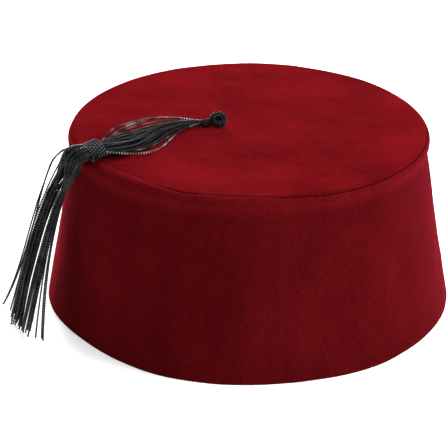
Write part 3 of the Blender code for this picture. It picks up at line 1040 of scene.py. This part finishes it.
# %% Skirt cords
# A lock's middle across the skirt and its half width, in metres towards the front, are given at three shares of the
# way down. leap, leave and flare shape how it goes over the shoulder and out to its tip. It leaves the whole bundle
# between the shares split_from and split_by, and ends is the share where its cords end.
LOCKS = table(
    "cords  middle  half  thick  leap  leave  flare  lift  split_from  split_by  ends",
    (2, (-0.0155, -0.0165, -0.0318), (0.0002, 0.0002, 0.0002), 0.0003, 1.25, 38, 1.04, 0.040, 0.00, 0.20, 1.00),
    (1, (-0.0112, -0.0155, -0.0245), (0, 0, 0), 0.0005, 1.25, 38, 1.04, 0.040, 0.02, 0.22, 0.97),
    (3, (-0.0108, -0.0158, -0.0215), (0.0008, 0.0006, 0.0022), 0.0010, 1.10, 33, 1.04, 0.020, 0.11, 0.25, 0.99),
    (22, (-0.0098, -0.0130, -0.0162), (0.0029, 0.0036, 0.0058), 0.0040, 1.04, 30, 1.03, 0, 0.11, 0.31, 1.00),
    (15, (-0.0006, -0.0030, -0.0062), (0.0018, 0.0031, 0.0042), 0.0026, 1.00, 33, 0.98, 0.003, 0.11, 0.31, 1.00),
    (1, (-0.0002, -0.0016, -0.0012), (0, 0, 0), 0.0020, 1.00, 32, 0.97, 0.003, 0.11, 0.30, 0.92),
    (1, (-0.0002, -0.0010, 0.0044), (0, 0, 0), 0.0020, 1.00, 31, 0.95, 0.003, 0.11, 0.30, 0.98),
    (2, (0.0004, 0.0022, 0.0112), (0.0006, 0.0010, 0.0005), 0.0016, 0.98, 30, 0.90, 0.003, 0.11, 0.30, 0.97),
)
WHOLE = table(
    "middle  leap  leave  flare  lift",
    ((-0.0035, -0.0060, -0.0100), 1.00, 28, 1.00, 0.000),
)[0]
HEAD_WIDER = 0.0036
HEAD_DEEPER = 0.0020
HEAD_FULL_AT = 0.12
HIGH_AT = 0.25
WAIST_AT = 0.60
SKIRT_LENGTH = 0.105
LOCK_WANDER = 0.0010
HEAD_EARLY = 0.04
TIPS_UNEVEN = 0.045


def across_at(values, share):
    """The smooth curve through three values, at the high, waist and tip shares of the skirt."""
    high = (share - WAIST_AT) * (share - 1.0) / ((HIGH_AT - WAIST_AT) * (HIGH_AT - 1.0))
    waist = (share - HIGH_AT) * (share - 1.0) / ((WAIST_AT - HIGH_AT) * (WAIST_AT - 1.0))
    tip = (share - HIGH_AT) * (share - WAIST_AT) / ((1.0 - HIGH_AT) * (1.0 - WAIST_AT))
    return values[0] * high + values[1] * waist + values[2] * tip


def lock_middle(row, depth):
    """The middle route of one lock, from the binding to its tip."""
    across = beside(EDGE_WAY)
    side = oval(EDGE_ANGLE, HAT_HEIGHT)
    thick = LAY_GAP + 0.5 * BUNDLE_DEPTH
    begin = BINDING_REACH + 0.5 * BINDING_LENGTH + LAY_GAP
    rise = SHOULDER_ROLL + thick
    leap = ((SHOULDER_RADIUS - SHOULDER_ROLL) * side + rise - begin) * row["leap"]
    leave = math.radians(row["leave"])
    hang = math.radians(HANG_ANGLE)

    def over_shoulder(angle):
        height = HAT_HEIGHT + thick - rise * (1.0 - math.cos(angle))
        return EDGE_WAY * (begin + leap * math.sin(angle)) + UP * height

    low = TIP_CLEARANCE + 0.5 * depth * math.sin(hang) + row["lift"] * HAT_HEIGHT
    turn = math.atan2(leap, rise * math.tan(leave))
    edge = over_shoulder(turn)
    tip = EDGE_WAY * (wall_radius(low) * side + thick + row["flare"] * SKIRT_FLARE) + UP * low
    pull = (tip - edge).length / 3.0
    first = edge + (EDGE_WAY * math.sin(leave) - UP * math.cos(leave)) * pull
    last = tip - (EDGE_WAY * math.sin(hang) - UP * math.cos(hang)) * pull

    def middle(share):
        if share < BEND_SHARE:
            place = over_shoulder(turn * share / BEND_SHARE)
        else:
            place = cubic((edge, first, last, tip), (share - BEND_SHARE) / (1.0 - BEND_SHARE))
        return place + across * across_at(row["middle"], share)

    return middle


def skirt_route(row, in_lock, in_head, index):
    """The route of one cord: through the binding, in its place in the whole bundle, then into its lock."""
    middle = lock_middle(row, row["thick"])
    whole_middle = lock_middle(WHOLE, BUNDLE_DEPTH)
    across = beside(EDGE_WAY)
    through = BINDING_LENGTH / SKIRT_LENGTH
    uneven = 0.5 + 0.5 * math.sin(12.9898 * index)
    end = row["ends"] - TIPS_UNEVEN * uneven * min(1.0, 0.2 * row["cords"])

    def route(share):
        along = -through + share * (end + through)
        at = max(0.001, along)
        back = EDGE_WAY * (min(0.0, along) * SKIRT_LENGTH)
        over = heading(middle, at).cross(across).normalized()
        loose = min(1.0, at * 3.0)
        side = in_lock[0] * across_at(row["half"], at) + wander(index, at, 0.5, LOCK_WANDER) * loose
        lift = in_lock[1] * 0.5 * row["thick"] + wander(index + 70, at, 0.5, LOCK_WANDER) * loose
        place = middle(at) + across * side + over * lift
        drift = across_at(WHOLE["middle"], at)
        gathered = whole_middle(at) - across * drift
        over = heading(whole_middle, at).cross(across).normalized()
        opened = eased((at + HEAD_EARLY) / (HEAD_FULL_AT + HEAD_EARLY))
        side = in_head[0] * 0.5 * (BUNDLE_WIDTH + HEAD_WIDER * opened - CORD) + drift * opened
        lift = in_head[1] * 0.5 * (BUNDLE_DEPTH + HEAD_DEEPER * opened - CORD) + 0.5 * HEAD_DEEPER * opened
        gathered += across * side + over * lift
        split = eased((at - row["split_from"]) / (row["split_by"] - row["split_from"]))
        settled = SETTLED * (1.0 - eased(at / SETTLED_UNTIL))
        return AXIS + gathered.lerp(place, split) + back + settled

    return route


skirt_count = sum(lock["cords"] for lock in LOCKS)
head_places = sorted(in_bundle(index, skirt_count) for index in range(skirt_count))
skirt_routes = []
for lock in LOCKS:
    for index in range(lock["cords"]):
        number = len(skirt_routes)
        skirt_routes.append(skirt_route(lock, in_bundle(index, lock["cords"]), head_places[number], number))
half = skirt_count // 2
skirt_back = cords("skirt_cords_back", skirt_routes[:half])
skirt_front = cords("skirt_cords_front", skirt_routes[half:])
for piece in (skirt_back, skirt_front):
    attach(piece, "root")
    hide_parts("tassel_skirt")

# %% [markdown]
# ## The binding
#
# A cord is wound round the waist of the tassel, turn beside turn, six times. That is a helix on an oval: one route,
# whose place along the bundle moves on by a little more than one cord for each turn. It starts and ends underneath,
# out of sight. Its humps don't divide a turn evenly, so the dots of neighbouring turns don't line up.

# %% Binding
WINDING_PITCH = 0.00125
WINDING_DIP = 14.0
WINDING_SINK = 0.0006
WINDING_HUMP = 0.00128


def winding_route(middle, along, across, over, width, depth, length, turns):
    """A helix round an oval bundle, centred at middle."""

    def route(share):
        turn = 2.0 * math.pi * turns * share - 0.5 * math.pi
        place = middle + along * length * (share - 0.5)
        return place + across * (0.5 * width * math.cos(turn)) + over * (0.5 * depth * math.sin(turn))

    return route


def binding_cords():
    """The winding round the waist, which dips with the tassel where it starts to bend over the shoulder."""
    middle = AXIS + EDGE_WAY * BINDING_REACH + SETTLED
    middle.z = HAT_HEIGHT + LAY_GAP + 0.5 * (BUNDLE_DEPTH + BINDING_CORD) - WINDING_SINK
    dip = math.radians(WINDING_DIP)
    along = EDGE_WAY * math.cos(dip) - UP * math.sin(dip)
    over = UP * math.cos(dip) + EDGE_WAY * math.sin(dip)
    turns = BINDING_LENGTH / WINDING_PITCH
    route = winding_route(middle, along, beside(EDGE_WAY), over, BUNDLE_WIDTH, BUNDLE_DEPTH, BINDING_LENGTH, turns)
    thick = 1.05 * BINDING_CORD
    return cords("binding_cords", [route], thick, step=0.0004, hump=WINDING_HUMP, finish=RAYON_BINDING)


binding = binding_cords()
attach(binding, "root")
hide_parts("tassel_binding")

# %% [markdown]
# ## The knot
#
# The skein is sewn to the crown by an eye: a ring of cord with two turns across it, tilted up at the back, and a
# short neck wound with fine thread. The ring is three cords twisted round a circle.

# %% Knot
RING_TWISTS = 4.0
NECK_TURNS = 11.0
CROSSING_BULGE = 0.0009
CROSSING_LAY = 0.0005


def knot_cords():
    """The ring, the turns across it and the neck."""
    centre, along, slope, facing = knot_frame()
    centre = AXIS + centre
    ring_cord = 1.45 * KNOT_CORD
    ring_radius = 0.5 * (KNOT_ACROSS - ring_cord)
    ply = 0.52 * ring_cord
    lay = 0.5 * (ring_cord - ply)

    def ring_route(phase):
        def route(share):
            turn = 2.0 * math.pi * share
            out = along * math.cos(turn) + slope * math.sin(turn)
            twist = RING_TWISTS * turn + phase
            return centre + out * (ring_radius + lay * math.cos(twist)) + facing * (lay * math.sin(twist))

        return route

    ring = cords(
        "knot_ring",
        [ring_route(phase * 2.0 * math.pi / 3.0) for phase in range(3)],
        thick=1.15 * ply,
        step=0.0003,
        cyclic=True,
        finish=RAYON_WOUND,
    )

    def crossing_route(lean, phase):
        run = slope * math.cos(lean) + along * math.sin(lean)

        def route(share):
            reach = 2.0 * share - 1.0
            twist = 3.0 * math.pi * share + phase
            place = centre + run * reach * ring_radius + facing * CROSSING_BULGE * (1.0 - reach * reach)
            lay = run.cross(facing) * (CROSSING_LAY * math.cos(twist))
            return place + lay + facing * (CROSSING_LAY * math.sin(twist))

        return route

    crossings = [crossing_route(lean, phase) for lean in (0.3, -0.5) for phase in (0.0, math.pi)]
    crossing = cords("knot_crossing", crossings, thick=0.0013, step=0.0003)

    lying = HAT_HEIGHT + LAY_GAP + 0.5 * NECK_WIDTH
    neck_length = NECK_LENGTH + 0.5 * KNOT_CORD

    def neck_middle(share):
        place = centre + along * (ring_radius + share * neck_length)
        place.z = lying + (centre.z - lying) * max(0.0, 1.0 - 2.0 * share) ** 2
        return place

    def neck_route(share):
        turn = 2.0 * math.pi * NECK_TURNS * share
        radius = 0.5 * NECK_WIDTH
        return neck_middle(share) + beside(along) * radius * math.cos(turn) + UP * radius * math.sin(turn)

    neck = cords("knot_neck", [neck_route], thick=0.00055, step=0.0003)
    return joined("knot_cords", [ring, crossing, neck])


knot = knot_cords()
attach(knot, "root")
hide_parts("tassel_knot")
